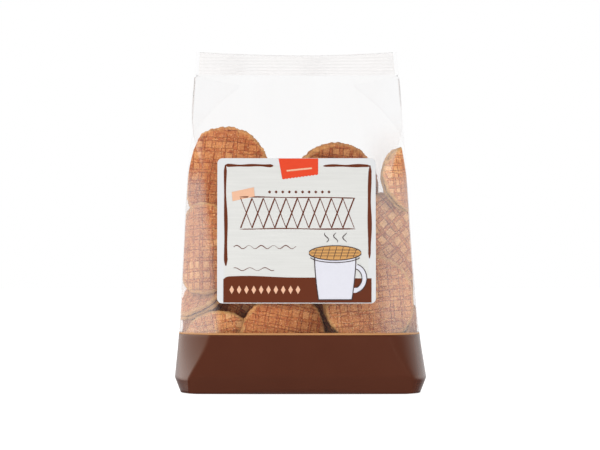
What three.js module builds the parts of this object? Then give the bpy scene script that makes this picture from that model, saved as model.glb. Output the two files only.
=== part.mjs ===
// A stand-up bag of small round syrup waffles, made of clear film with a flat folded bottom,
// side gussets that fold in towards the top, a crimped top seal, a lapped seam down the back,
// and a paper label on the front.
//
// Millimetres, +Z up, front towards -Y. The origin is on the surface that the bag stands on,
// under the middle of its bounding box. The filled bag is one solid. The label is another,
// and lies just clear of the film.

import * as THREE from "three";

// ---- Driving dimensions ------------------------------------------------------------------

const height = 187.4; // from the surface to the top corners
const sealHeight = 12.5; // the crimped strip across the top
const neck = height - sealHeight; // where the panels and the gussets meet in the seal
const sealSag = 1.9; // how far the middle of the top edge hangs below its corners
const footArch = { lift: 1.6, halfLength: 48, fade: 20 }; // the bottom edge's lifted middle
const weld = 0.9; // thickness of the welded layers in the seal

// The bag's horizontal section at a few heights: half its width, half its depth, how square
// its corners are (2 is an ellipse), and how far its middle has drifted to the side. The
// first is the flat patch that the bag stands on. The sharp stations are creases, and the
// form runs smoothly through the others.
const stations = [
  { z: 0, halfWidth: 62, halfDepth: 20, squareness: 5, drift: 0, sharp: true },
  { z: 0.6, halfWidth: 65.8, halfDepth: 26.4, squareness: 5, drift: 0, sharp: true },
  { z: 8.9, halfWidth: 69, halfDepth: 31.4, squareness: 5.5, drift: 0, sharp: true },
  { z: 32.3, halfWidth: 66.1, halfDepth: 32, squareness: 2.7, drift: -0.7 },
  { z: 69.3, halfWidth: 63.4, halfDepth: 29, squareness: 2.4, drift: -1.5 },
  { z: 106.3, halfWidth: 61.2, halfDepth: 22.6, squareness: 2.6, drift: -1.8 },
  { z: 139.3, halfWidth: 59, halfDepth: 13.2, squareness: 4, drift: -1.9 },
  { z: neck, halfWidth: 56.2, halfDepth: 0.95, squareness: 8, drift: -2.1, sharp: true },
  { z: height, halfWidth: 55.1, halfDepth: weld / 2, squareness: 8, drift: -2.3, sharp: true },
];

// The side gussets: they start above the waffles, deepen up to the neck, and are pressed shut
// in the seal. The crease is where they meet the panels, as a share of the half depth.
const gusset = { start: 117.3, full: neck - 5, end: neck, depth: 28, crease: 0.92 };

const seam = { halfWidth: 5.5, step: 0.4, thickness: 0.6, start: 6 }; // lapped seam on the back
const centring = seam.thickness / 2; // brings the front and the seam equally far from y = 0
const sway = { amplitude: 2, phase: 0.5, start: 139.3 }; // the top seal's S-bend, seen from above
const crimp = { ribs: 7, depth: 0.25, margin: 0.8 }; // horizontal ribs pressed into the seal

const label = {
  left: -45.4,
  right: 41,
  bottom: 49.7,
  top: 128.8,
  corner: 2.6,
  gap: 0.35,
  thickness: 0.5,
};

const panelSteps = 13; // facets from a side's middle to the back seam
const labelColumns = 20;
const labelRows = 10;
const cornerColumns = 3;

// ---- The bag's form ----------------------------------------------------------------------

const smooth = (t) => {
  const held = THREE.MathUtils.clamp(t, 0, 1);
  return held * held * (3 - 2 * held);
};

// One value of the section at height z: a cubic through the stations, straight at the creases.
function stationValue(key, z) {
  const last = stations.length - 1;
  const upper = THREE.MathUtils.clamp(stations.findIndex((s) => s.z >= z - 1e-6), 1, last);
  const lower = upper - 1;
  const run = stations[upper].z - stations[lower].z;
  const rise = stations[upper][key] - stations[lower][key];
  const slopeAt = (index) => {
    if (stations[index].sharp) return rise / run;
    const [low, high] = [stations[index - 1], stations[index + 1]];
    return (high[key] - low[key]) / (high.z - low.z);
  };
  const t = THREE.MathUtils.clamp((z - stations[lower].z) / run, 0, 1);
  const bend = t * (1 - t) ** 2 * (slopeAt(lower) * run) - t ** 2 * (1 - t) * (slopeAt(upper) * run);
  return stations[lower][key] + smooth(t) * rise + bend;
}

function gussetDepth(z) {
  if (z <= gusset.start || z >= gusset.end) return 0;
  if (z > gusset.full) return gusset.depth * ((gusset.end - z) / (gusset.end - gusset.full));
  return gusset.depth * ((z - gusset.start) / (gusset.full - gusset.start)) ** 2;
}

function section(z) {
  return {
    z,
    halfWidth: stationValue("halfWidth", z),
    halfDepth: stationValue("halfDepth", z),
    squareness: stationValue("squareness", z),
    drift: stationValue("drift", z),
    fold: gussetDepth(z),
  };
}

// The height that a point of the film really has: the foot's edge lifts off the surface in the
// middle, outside the flat patch, and the top edge sags.
function heightAt(z, across) {
  const arch = smooth(1 - (across / footArch.halfLength) ** 2) * smooth(1 - z / footArch.fade);
  const lift = z > 0 ? footArch.lift * arch : 0;
  const topShare = smooth((z - sway.start) / (height - sway.start));
  const sag = sealSag * (1 - (across / stations.at(-1).halfWidth) ** 2) * topShare;
  return z + lift - sag;
}

function swayAt(z, across) {
  const share = smooth((z - sway.start) / (height - sway.start));
  return sway.amplitude * share * Math.sin((Math.PI * across) / stations.at(-1).halfWidth + sway.phase);
}

// The ring of points round the bag at one height. It runs from the right side's middle over
// the back to the left side's middle, and returns over the front through the same widths.
function ring(z, ribOffset) {
  const s = section(z);
  const power = 2 / s.squareness;
  const angleAt = (across) => Math.acos((across / s.halfWidth) ** (s.squareness / 2));
  const nearSeam = angleAt(seam.halfWidth + seam.step);
  const quarter = [];
  for (let k = 0; k <= panelSteps; k++) quarter.push((nearSeam * k) / panelSteps);
  quarter.push(angleAt(seam.halfWidth));
  const angles = [...quarter, Math.PI / 2, ...quarter.map((a) => Math.PI - a).reverse()];

  const outline = angles.map((a) => {
    const side = Math.cos(a) < -1e-9 ? -1 : 1;
    const across = Math.abs(Math.cos(a)) ** power * s.halfWidth;
    const deep = Math.sin(a) < 1e-9 ? 0 : Math.sin(a) ** power;
    const folded = s.fold * Math.max(0, 1 - deep / gusset.crease);
    return { side, across: across - folded, deep: deep * s.halfDepth };
  });
  const widest = Math.max(...outline.map((p) => p.across));
  const fit = s.halfWidth / widest;

  const place = (p, direction) => {
    const across = p.side * p.across * fit;
    const onSeam = direction > 0 && Math.abs(across) < seam.halfWidth + seam.step / 2;
    const lap = onSeam && z > seam.start && z < neck ? seam.thickness : 0;
    const y = direction * p.deep + lap - centring + swayAt(z, across) + ribOffset;
    return new THREE.Vector3(across + s.drift, y, heightAt(z, across));
  };
  const back = outline.map((p) => place(p, 1));
  const front = outline.slice(1, -1).map((p) => place(p, -1)).reverse();
  return [...back, ...front];
}

// The heights of the rings: close together at the foot and the neck, and two to each rib.
function ringHeights() {
  const foot = [0, 0.6, 2.5, 5.8, 9.3, 12, 18, 25];
  const body = [];
  for (let z = 33; z < gusset.full - 3; z += 6.1) body.push(z);
  const plain = [...foot, ...body, gusset.full, neck - 2, neck].map((z) => ({ z, offset: 0 }));
  const ribs = [];
  const half = (sealHeight - 2 * crimp.margin) / (2 * crimp.ribs);
  for (let k = 0; k < 2 * crimp.ribs; k++) {
    const offset = k % 2 ? crimp.depth : -crimp.depth;
    ribs.push({ z: neck + crimp.margin + half * (k + 0.5), offset });
  }
  return [...plain, ...ribs, { z: height, offset: 0 }];
}

// ---- Closed meshes -----------------------------------------------------------------------

function meshFrom(points, triangles) {
  const geometry = new THREE.BufferGeometry();
  geometry.setAttribute(
    "position",
    new THREE.Float32BufferAttribute(points.flatMap((p) => p.toArray()), 3),
  );
  geometry.setIndex(triangles);
  geometry.computeVertexNormals();
  return geometry;
}

function bagGeometry() {
  const rings = ringHeights().map(({ z, offset }) => ring(z, offset));
  const around = rings[0].length;
  const half = around / 2; // index of the left side's middle
  const points = rings.flat();
  const triangles = [];
  const quad = (a, b, c, d) => triangles.push(a, b, c, a, c, d);

  for (let r = 0; r + 1 < rings.length; r++) {
    for (let k = 0; k < around; k++) {
      const low = r * around;
      const next = (k + 1) % around;
      quad(low + k, low + next, low + around + next, low + around + k);
    }
  }
  // Both ends are strips that join each point of the back to the one in front of it.
  const closeEnd = (start, upwards) => {
    for (let k = 0; k < half; k++) {
      const strip = [k, k + 1, around - k - 1, (around - k) % around].map((i) => start + i);
      const corners = [...new Set(strip)];
      if (!upwards) corners.reverse();
      for (let c = 1; c + 1 < corners.length; c++) {
        triangles.push(corners[0], corners[c], corners[c + 1]);
      }
    }
  };
  closeEnd(0, false);
  closeEnd((rings.length - 1) * around, true);
  return meshFrom(points, triangles);
}

// The front film's y at a place on the front panel, where there is no gusset.
function frontAt(x, z) {
  const s = section(z);
  const across = x - s.drift;
  const share = Math.min(1, Math.abs(across) / s.halfWidth);
  const deep = (1 - share ** s.squareness) ** (1 / s.squareness);
  return -s.halfDepth * deep - centring + swayAt(z, across);
}

function labelGeometry() {
  const { left, right, bottom, top, corner, gap, thickness } = label;
  const columns = [];
  for (let k = 0; k < cornerColumns; k++) {
    columns.push(left + corner * (1 - Math.cos((Math.PI / 2) * (k / cornerColumns))));
  }
  const inner = right - left - 2 * corner;
  for (let k = 0; k <= labelColumns; k++) columns.push(left + corner + (inner * k) / labelColumns);
  for (let k = cornerColumns - 1; k >= 0; k--) {
    columns.push(right - corner * (1 - Math.cos((Math.PI / 2) * (k / cornerColumns))));
  }
  const endInset = (x) => {
    const out = Math.max(left + corner - x, x - right + corner, 0);
    return corner - Math.sqrt(Math.max(0, corner ** 2 - out ** 2));
  };

  const points = [];
  for (const offset of [gap, gap + thickness]) {
    for (const x of columns) {
      const inset = endInset(x);
      for (let r = 0; r <= labelRows; r++) {
        const z = THREE.MathUtils.lerp(bottom + inset, top - inset, r / labelRows);
        points.push(new THREE.Vector3(x, frontAt(x, z) - offset, z));
      }
    }
  }
  const across = columns.length;
  const up = labelRows + 1;
  const index = (side, column, row) => (side * across + column) * up + row;
  const triangles = [];
  const quad = (a, b, c, d) => triangles.push(a, b, c, a, c, d);
  for (let c = 0; c + 1 < across; c++) {
    for (let r = 0; r + 1 < up; r++) {
      quad(index(1, c, r), index(1, c + 1, r), index(1, c + 1, r + 1), index(1, c, r + 1));
      quad(index(0, c, r), index(0, c, r + 1), index(0, c + 1, r + 1), index(0, c + 1, r));
    }
    quad(index(0, c, 0), index(0, c + 1, 0), index(1, c + 1, 0), index(1, c, 0));
    const last = up - 1;
    quad(index(1, c, last), index(1, c + 1, last), index(0, c + 1, last), index(0, c, last));
  }
  for (let r = 0; r + 1 < up; r++) {
    const last = across - 1;
    quad(index(0, 0, r), index(1, 0, r), index(1, 0, r + 1), index(0, 0, r + 1));
    quad(index(1, last, r), index(0, last, r), index(0, last, r + 1), index(1, last, r + 1));
  }
  return meshFrom(points, triangles);
}

// ---- The object --------------------------------------------------------------------------

function part(name, geometry, color, roughness, extra = {}) {
  const material = new THREE.MeshStandardMaterial({ color, roughness, metalness: 0, ...extra });
  const mesh = new THREE.Mesh(geometry, material);
  mesh.name = name;
  return mesh;
}

const bagOfWaffles = new THREE.Group();
bagOfWaffles.add(
  part("bag", bagGeometry(), 0xb46e44, 0.25, { transparent: true, opacity: 0.9 }),
  part("label", labelGeometry(), 0xe2e2dd, 0.6),
);

export default bagOfWaffles;
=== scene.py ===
"""A stand-up clear film bag of small syrup waffles, with a printed foot and a paper label.

Metres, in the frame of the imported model: +Z up, the front towards -Y, the origin on the
surface that the bag stands on.
"""

import bpy
import numpy as np
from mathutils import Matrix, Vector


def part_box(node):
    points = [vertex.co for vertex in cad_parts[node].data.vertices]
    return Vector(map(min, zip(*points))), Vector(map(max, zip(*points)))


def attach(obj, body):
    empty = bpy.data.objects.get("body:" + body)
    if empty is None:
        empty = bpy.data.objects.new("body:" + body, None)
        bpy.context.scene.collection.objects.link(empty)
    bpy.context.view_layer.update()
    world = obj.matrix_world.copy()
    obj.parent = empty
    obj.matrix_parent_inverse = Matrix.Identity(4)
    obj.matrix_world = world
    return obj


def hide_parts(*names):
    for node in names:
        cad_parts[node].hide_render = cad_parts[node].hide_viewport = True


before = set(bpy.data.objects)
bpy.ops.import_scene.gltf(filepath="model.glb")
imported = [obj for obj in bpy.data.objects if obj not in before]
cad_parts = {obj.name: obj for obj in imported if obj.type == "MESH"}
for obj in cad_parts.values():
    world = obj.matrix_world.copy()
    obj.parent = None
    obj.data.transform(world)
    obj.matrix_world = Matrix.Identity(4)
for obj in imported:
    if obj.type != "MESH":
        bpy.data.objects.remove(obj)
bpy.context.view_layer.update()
MM = 0.001


# ---- The room ------------------------------------------------------------------------------
# A white studio: a pale floor, white behind the bag, greyer towards the camera and dark from
# below. A large softbox on the left and a low one on the right show in the film's gloss. The
# lamps in front light the waffles and leave no reflection in the film.


def srgb(red, green, blue):
    """A colour given as 0 to 255 on screen, in linear light with alpha."""
    channels = np.array([red, green, blue]) / 255
    linear = np.where(channels <= 0.04045, channels / 12.92, ((channels + 0.055) / 1.055) ** 2.4)
    return (*linear.tolist(), 1.0)


def add(tree, kind, sockets=None, **settings):
    """Adds a node to a tree, with its settings, and sets or links the sockets that are named."""
    node = tree.nodes.new(kind)
    for name, value in settings.items():
        setattr(node, name, value)
    for name, value in (sockets or {}).items():
        if isinstance(value, bpy.types.NodeSocket):
            tree.links.new(value, node.inputs[name])
        else:
            node.inputs[name].default_value = value
    return node


def calc(tree, operation, first, second=0.0, third=0.0):
    """One Math node's result."""
    node = add(tree, "ShaderNodeMath", {0: first, 1: second, 2: third}, operation=operation)
    return node.outputs[0]


def product(tree, first, *others):
    """Several numbers multiplied."""
    for other in others:
        first = calc(tree, "MULTIPLY", first, other)
    return first


def vector_calc(tree, operation, first, second=(0, 0, 0)):
    """One Vector Math node's result. What a vector is scaled by is one number."""
    other = "Scale" if operation == "SCALE" else 1
    node = add(tree, "ShaderNodeVectorMath", {0: first, other: second}, operation=operation)
    return node.outputs["Value" if operation == "LENGTH" else "Vector"]


def xyz(tree, vector):
    """The three numbers of a vector."""
    return tuple(add(tree, "ShaderNodeSeparateXYZ", {0: vector}).outputs)


def ramp(tree, factor, *stops):
    """A colour ramp with (position, colour) stops, where one number is a level of grey."""
    node = add(tree, "ShaderNodeValToRGB", {"Fac": factor})
    elements = node.color_ramp.elements
    while len(elements) < len(stops):
        elements.new(0.5)
    for element, (position, colour) in zip(elements, stops):
        element.position = position
        element.color = colour if isinstance(colour, tuple) else (colour, colour, colour, 1)
    return node.outputs["Color"]


def mix_colours(tree, factor, first, second, blend="MIX"):
    sockets = {0: factor, 6: first, 7: second}
    return add(tree, "ShaderNodeMix", sockets, data_type="RGBA", blend_type=blend).outputs[2]


def noise(tree, vector, scale, detail=2.0, roughness=0.5, output="Fac"):
    sockets = {"Vector": vector, "Scale": scale, "Detail": detail, "Roughness": roughness}
    return add(tree, "ShaderNodeTexNoise", sockets).outputs[output]


def new_material(name):
    """An empty material, its node tree and its output node."""
    material = bpy.data.materials.new(name)
    material.use_nodes = True
    material.node_tree.nodes.clear()
    return material, material.node_tree, add(material.node_tree, "ShaderNodeOutputMaterial")


def surface(tree, output, colour, roughness, gloss, others=None):
    """Gives a material its opaque surface. others are further sockets of its shader."""
    sockets = {"Base Color": colour, "Roughness": roughness, "Specular IOR Level": gloss}
    shader = add(tree, "ShaderNodeBsdfPrincipled", sockets | (others or {}))
    tree.links.new(shader.outputs[0], output.inputs["Surface"])


def new_mesh(name, points, faces):
    mesh = bpy.data.meshes.new(name)
    mesh.from_pydata(np.asarray(points).tolist(), [], faces)
    return mesh


def placed(name, data):
    """A new object in the scene, with its mesh, lamp or camera."""
    thing = bpy.data.objects.new(name, data)
    bpy.context.collection.objects.link(thing)
    return thing


world = bpy.data.worlds.new("studio")
bpy.context.scene.world = world
world.use_nodes = True
sky = world.node_tree
sky.nodes.clear()
direction = add(sky, "ShaderNodeTexCoord").outputs["Generated"]
_, depth, upward = xyz(sky, direction)
room_light = ramp(sky, calc(sky, "MULTIPLY_ADD", depth, 0.5, 0.5),
                  (0.0, 0.05), (0.45, 0.25), (0.66, 0.8), (0.84, 1))
above_floor = ramp(sky, calc(sky, "MULTIPLY_ADD", upward, 0.5, 0.5), (0.4, 0.08), (0.49, 1))
room_light = mix_colours(sky, 1.0, room_light, above_floor, "MULTIPLY")
seen = add(sky, "ShaderNodeLightPath").outputs["Is Camera Ray"]
backdrop = mix_colours(sky, seen, room_light, (1, 1, 1, 1))
glow = add(sky, "ShaderNodeBackground", {"Color": backdrop, "Strength": 1.0})
sky.links.new(glow.outputs[0], add(sky, "ShaderNodeOutputWorld").inputs["Surface"])

floor_half = 4.0
floor_corners = [(x * floor_half, y * floor_half, 0) for x, y in ((-1, -1), (1, -1), (1, 1), (-1, 1))]
floor = placed("floor", new_mesh("floor", floor_corners, [(0, 1, 2, 3)]))
floor_paint, tree, output = new_material("pale floor")
surface(tree, output, (0.3, 0.3, 0.3, 1), 0.9, 0.1,
        {"Emission Color": (1, 1, 1, 1), "Emission Strength": 0.92})
floor.data.materials.append(floor_paint)
floor.visible_glossy = False

camera_distance = 2.5
frame_width = 330 * MM  # what the picture's width takes in at the bag
sensor_width = 36.0
camera = placed("camera", bpy.data.cameras.new("camera"))
camera.location = (-0.3 * MM, -camera_distance, 92.3 * MM)
camera.rotation_euler = (np.pi / 2, 0, 0)
camera.data.sensor_width = sensor_width
camera.data.lens = sensor_width * camera_distance / frame_width
bpy.context.scene.camera = camera
bpy.context.scene.view_settings.view_transform = "Standard"


def lamp(name, place, target, size, watts, in_gloss, tint=(1, 1, 1)):
    """A rectangular soft lamp. in_gloss says whether shiny surfaces reflect it."""
    light = bpy.data.lights.new(name, "AREA")
    light.shape = "RECTANGLE"
    light.size, light.size_y = size
    light.energy = watts
    light.color = tint
    holder = placed(name, light)
    holder.location = place
    aim = np.array(target, float) - np.array(place, float)
    yaw = np.arctan2(aim[0], -aim[1])
    pitch = np.arctan2(np.hypot(aim[0], aim[1]), -aim[2])
    holder.rotation_euler = (pitch, 0, yaw + np.pi)
    holder.visible_camera = False
    holder.visible_glossy = in_gloss


lamp("left softbox", (-0.95, 0.25, 0.42), (-0.1, 0.05, 0.42), (1.7, 1.3), 5.3, True, (1, 0.85, 0.75))
lamp("right softbox", (0.95, 0.45, 0.09), (0.1, 0.15, 0.09), (0.9, 0.22), 0.2, True, (1, 0.82, 0.68))
lamp("key lamp", (-0.75, -1.25, 1.05), (0, 0, 0.08), (0.6, 0.6), 16.0, False)
lamp("fill lamp", (0.9, -1.5, 0.5), (0, 0, 0.08), (1.0, 1.0), 14.0, False)


# ---- The film bag --------------------------------------------------------------------------
# One tube of clear film, 187 mm tall. Its foot is folded flat, its sides bulge with what is in
# it and fold in as gussets towards the top, and a crimped seal closes it. It is made as a
# closed skin of rings, each a front panel, two sides and a back panel between four creases.

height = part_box("bag")[1].z
seal_height = 12.5 * MM
neck = height - seal_height
weld = 0.9 * MM  # thickness of the seal
seal_sag, seal_half = 1.9 * MM, 55.1 * MM
foot_arch, foot_arch_half = 1.6 * MM, 48 * MM
band_top, gold_line = 32.5 * MM, 1.1 * MM
foot_edge, shoulder = 8.9 * MM, 139.3 * MM
gusset_start, gusset_full, gusset_depth = 117.3 * MM, neck - 5 * MM, 28 * MM
seam_half, seam_rise = 5.5 * MM, 0.5 * MM
corner_depth = 0.9  # the creases' depth, as a share of the middle's
side_steps, panel_steps = 16, 44  # points round a quarter of the bag: its side and its panel
# Height, half the width, half the depth, where the creases are as a share of the half width,
# and how far the middle has drifted sideways, all in millimetres but the crease. The last
# column is 1 where the form has a sharp turn.
stations = np.array([
    (0.0, 62.0, 20.0, 0.92, 0.0, 1),
    (0.6, 65.8, 26.4, 0.92, 0.0, 1),
    (foot_edge / MM, 69.0, 31.4, 0.88, 0.0, 1),
    (32.3, 66.1, 32.0, 0.73, -0.7, 0),
    (69.3, 63.4, 29.2, 0.71, -1.5, 0),
    (106.3, 61.2, 22.8, 0.80, -1.8, 0),
    (shoulder / MM, 59.0, 13.3, 0.90, -1.9, 0),
    (neck / MM, 56.2, 0.95, 0.96, -2.1, 1),
    (height / MM, seal_half / MM, weld / 2 / MM, 0.96, -2.3, 1),
])
HALF_WIDTH, HALF_DEPTH, CREASE, DRIFT = 1, 2, 3, 4


def smooth(t):
    """An even rise from 0 to 1 with soft ends."""
    held = np.clip(t, 0, 1)
    return held * held * (3 - 2 * held)


def at_height(column, z):
    """One of the section's values at a height: a cubic through the stations, as in the CAD."""
    heights, values, sharp = stations[:, 0] * MM, stations[:, column], stations[:, 5]
    if column != CREASE:
        values = values * MM
    last = len(heights) - 1
    upper = np.clip(np.searchsorted(heights, z - 1e-9), 1, last)
    lower = upper - 1
    run, rise = heights[upper] - heights[lower], values[upper] - values[lower]

    def slope(index):
        low, high = np.clip(index - 1, 0, last), np.clip(index + 1, 0, last)
        through = (values[high] - values[low]) / (heights[high] - heights[low])
        return np.where(sharp[index] > 0, rise / run, through)

    t = np.clip((z - heights[lower]) / run, 0, 1)
    bend = t * (1 - t) ** 2 * slope(lower) * run - t**2 * (1 - t) * slope(upper) * run
    return values[lower] + smooth(t) * rise + bend


def from_middle(x, z):
    """How far to the right of the bag's own middle line a place is."""
    return x - at_height(DRIFT, z)


def gusset_fold(z):
    """How far the sides are folded in at a height."""
    return gusset_depth * np.clip((z - gusset_start) / (gusset_full - gusset_start), 0, 1) ** 2


def side_roundness(side):
    """How round the turn from the creases into a side is: crisp on the left, soft on the right."""
    return np.where(side < 0, 0.45, 0.8)


def panel_depth(across, z):
    """The panel's distance from the middle plane, at a distance across from its own middle."""
    share = np.abs(across) / at_height(HALF_WIDTH, z)
    crease = at_height(CREASE, z)
    past = np.clip((share - crease) / (1 - crease), 0, 1)
    roundness = side_roundness(np.sign(across))
    on_side = corner_depth * ((1 - past) * (1 - roundness) + roundness * np.sqrt(1 - past**2))
    on_panel = 1 - (1 - corner_depth) * np.clip(share / crease, 0, 1) ** 2.5
    return np.where(share < crease, on_panel, on_side) * at_height(HALF_DEPTH, z)


def seal_sway(z, across):
    """The S-bend of the top seal, seen from above."""
    share = smooth((z - shoulder) / (height - shoulder))
    return 2 * MM * share * np.sin(np.pi * across / seal_half + 0.5)


# Soft folds that hang from the seal: where each starts and ends across, how low it reaches,
# how wide it is and how far it stands out, in millimetres.
front_folds = np.array([
    (-38, -42, 138, 3.0, 0.8), (-21, -26, 128, 4.0, -0.9), (-9, -10, 134, 2.6, 0.9),
    (8, 10, 140, 3.2, -0.6), (21, 29, 136, 2.4, 1.2), (33, 38, 132, 3.6, -0.8),
    (43, 46, 128, 2.4, 0.9),
]) * MM
back_folds = np.array([
    (-40, -46, 130, 2.8, 0.9), (-24, -27, 138, 3.2, -0.8), (-12, -10, 126, 3.0, 0.9),
    (17, 15, 132, 3.4, -0.8), (30, 36, 128, 2.6, 1.1), (44, 46, 138, 2.4, -0.7),
]) * MM


def film_relief(across, z, facing):
    """How far the film stands out from its smooth form: folds below the seal, and the gentle
    swell over what is in the bag. facing is -1 on the front and 1 on the back."""
    out = np.zeros(np.broadcast(across, z).shape)
    for fold in front_folds if facing < 0 else back_folds:
        start, end, low, width, rise = fold
        share = np.clip((neck - z) / (neck - low), 0, 1)
        offset = (across - (start + (end - start) * share)) / (width * (0.6 + 1.2 * share))
        fade = smooth((1 - share) / 0.5) * smooth((neck + 3 * MM - z) / (6 * MM))
        out = out + rise * fade * np.exp(-(offset**2))
    swell = np.sin(across / (9.1 * MM) + 1.3 * facing) * np.sin(z / (12.3 * MM) + across / (31 * MM))
    swell += 0.6 * np.sin(across / (5.3 * MM) + z / (17 * MM) + facing) * np.sin(z / (6.7 * MM))
    filled = smooth((150 * MM - z) / (25 * MM)) * smooth((z - 9 * MM) / (12 * MM))
    return out + 0.22 * MM * swell * filled


def panel_y(x, z, facing):
    """The film's y on the front (facing -1) or the back (facing 1), below the gussets' folds."""
    across = from_middle(x, z)
    out = panel_depth(across, z) + film_relief(across, z, facing)
    return facing * out - seam_rise / 2 + seal_sway(z, across)


def film_ring(z, rib):
    """The points round the bag at one height, from the right side's middle over the back."""
    turn = np.linspace(0, np.pi / 2, side_steps, endpoint=False)
    panel = np.linspace(1, 0, panel_steps + 1)
    width, crease = at_height(HALF_WIDTH, z), at_height(CREASE, z)
    around = []
    for side, facing in ((1, 1), (-1, 1), (-1, -1), (1, -1)):
        roundness = side_roundness(side)
        share = np.concatenate([crease + (1 - crease) * np.cos(turn), crease * panel])
        on_side = corner_depth * ((1 - np.cos(turn)) * (1 - roundness) + roundness * np.sin(turn))
        out = np.concatenate([on_side, 1 - (1 - corner_depth) * panel**2.5])
        quarter = np.stack([side * share, facing * out], axis=1)
        if side != facing:
            quarter = quarter[::-1]
        around.append(quarter[:-1])
    share, out = np.concatenate(around).T
    fold = gusset_fold(z) * np.clip((neck - z) / (neck - gusset_full), 0, 1)
    across = width * np.abs(share) - fold * np.clip(1 - np.abs(out) / 0.92, 0, 1)
    across = np.sign(share) * across * width / across.max()
    facing = np.sign(out)
    relief = np.where(facing < 0, film_relief(across, z, -1), film_relief(across, z, 1))
    relief = relief * smooth(np.abs(out) / 0.5)
    on_seam = (facing > 0) * smooth((seam_half + 0.3 * MM - np.abs(across)) / (0.6 * MM))
    lap = seam_rise * on_seam * (6 * MM < z < neck)
    y = out * at_height(HALF_DEPTH, z) + facing * relief + lap - seam_rise / 2
    y = y + seal_sway(z, across) + rib * (0.55 + 0.45 * np.sin(across / (7 * MM)))
    arch = smooth(1 - (across / foot_arch_half) ** 2) * smooth(1 - z / (20 * MM)) * (z > 0)
    sag = (1 - (across / seal_half) ** 2) * smooth((z - shoulder) / (height - shoulder))
    return np.stack([across + at_height(DRIFT, z), y, z + foot_arch * arch - seal_sag * sag], 1)


def film_rings(low, high):
    """The rings of the film between two heights, close together in the foot and the seal."""
    margin, ribs = 0.8 * MM, 7
    heights = {0.0, 0.6 * MM, foot_edge, band_top, band_top + gold_line, neck, height}
    heights |= set(np.linspace(0.6 * MM, foot_edge, 7)) | set(np.linspace(foot_edge, band_top, 14))
    heights |= set(np.linspace(band_top + gold_line, neck, 88))
    heights |= set(np.linspace(neck + margin, height - margin, 8 * ribs + 1))
    rings = []
    for z in sorted(h for h in heights if low - 1e-9 <= h <= high + 1e-9):
        phase = (z - neck - margin) / (seal_height - 2 * margin) * ribs
        rib = 0.22 * MM * np.sin(2 * np.pi * phase) if 0 < phase < ribs else 0.0
        rings.append(film_ring(z, rib))
    return np.array(rings)


def ring_faces(rows, around, first=0, closed_ends=(True, True)):
    """The quads between rings of points, with each end closed by strips from back to front."""
    quads = []
    for row in range(rows - 1):
        low = first + row * around
        for k in range(around):
            after = (k + 1) % around
            quads.append((low + k, low + after, low + around + after, low + around + k))
    for end, upwards in ((0, False), (rows - 1, True)):
        if not closed_ends[end > 0]:
            continue
        base = first + end * around
        for k in range(around // 2):
            strip = [k, k + 1, around - k - 1, (around - k) % around]
            corners = [base + i for i in dict.fromkeys(strip)]
            quads.append(tuple(corners if upwards else corners[::-1]))
    return quads


def remember(mesh, **values):
    """Keeps a number or a vector for each of a mesh's points, under the names given."""
    for key, numbers in values.items():
        numbers = np.array(numbers, float)
        kind, field = ("FLOAT_VECTOR", "vector") if numbers.ndim == 2 else ("FLOAT", "value")
        mesh.attributes.new(key, kind, "POINT").data.foreach_set(field, numbers.ravel())


def remembered(tree, key, output="Fac"):
    """What a mesh's points remember, in its material."""
    return add(tree, "ShaderNodeAttribute", attribute_name=key).outputs[output]


def new_piece(name, points, faces, material, stands_for=(), smooth_shaded=True):
    """A mesh piece on the bag's one body, with its material."""
    mesh = new_mesh(name, points, faces)
    mesh.update()
    piece = placed(name, mesh)
    mesh.materials.append(material)
    mesh.polygons.foreach_set("use_smooth", [smooth_shaded] * len(mesh.polygons))
    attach(piece, "root")
    if stands_for:
        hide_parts(*stands_for)
    return piece


most_haze = 0.22  # over waffles, whose grain a milkier film would hide
haze_top, haze_foot = 112 * MM, 60 * MM  # where it starts below the seal, and grows at the left


def film_haze(points):
    """How milky the film is: most in the crimped seal, with streaks below it that are painted highlights
    of soft folds, and milkier at the sides, where that milkiness is a painted sheen for the reflection on
    the bag's sides.
    """
    x, z = points[:, 0], points[:, 2]
    across = from_middle(x, z)
    share = np.abs(across) / at_height(HALF_WIDTH, z)
    # Vertical streaks in the milkiness below the seal: painted highlights of soft folds.
    fold_highlight_streaks = np.sin(across / (6.5 * MM) + 2.2) + 0.6 * np.sin(across / (3.1 * MM) + 0.4)
    near_top = smooth((z - haze_top) / (neck - haze_top))
    # Milkier towards the left and right sides: a painted sheen that stands in for the softboxes'
    # reflection on the bag's sides.
    left_sheen_start = np.interp(z / MM, (35, 79, 106, 140), (0.63, 0.7, 0.78, 0.86))
    left = 0.19 + 0.07 * smooth((haze_foot - z) / (25 * MM))
    left = left * smooth((share - left_sheen_start) / 0.1)
    right = (0.24 + 0.1 * smooth((z - 88 * MM) / (18 * MM))) * smooth((share - 0.56) / 0.34)
    side = np.where(across < 0, left, right) * smooth((152 * MM - z) / (24 * MM))
    in_seal = smooth((z - neck + 1 * MM) / (1.5 * MM))
    ribs = 0.02 * np.sin((z - neck) / seal_height * 7 * 2 * np.pi) * in_seal
    over_food = 0.04 * smooth((x - 5 * MM) / (40 * MM)) * smooth((135 * MM - z) / (15 * MM))
    over_waffles = np.minimum(side + over_food, most_haze)
    return 0.01 + over_waffles + near_top * (0.024 + 0.012 * fold_highlight_streaks) + 0.14 * in_seal + ribs


clear_film, tree, output = new_material("clear film")
edge = add(tree, "ShaderNodeFresnel", {"IOR": 1.5}).outputs[0]
gloss_share = calc(tree, "MULTIPLY_ADD", edge, 1.7, -0.052)
gloss_share = calc(tree, "MINIMUM", gloss_share, 0.3)
gloss_share = calc(tree, "MULTIPLY", gloss_share, remembered(tree, "glossiness"))
clear = add(tree, "ShaderNodeBsdfTransparent", {"Color": (0.995, 0.995, 0.996, 1)})
milk = add(tree, "ShaderNodeBsdfDiffuse", {"Color": (0.74, 0.7, 0.68, 1)})
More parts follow.
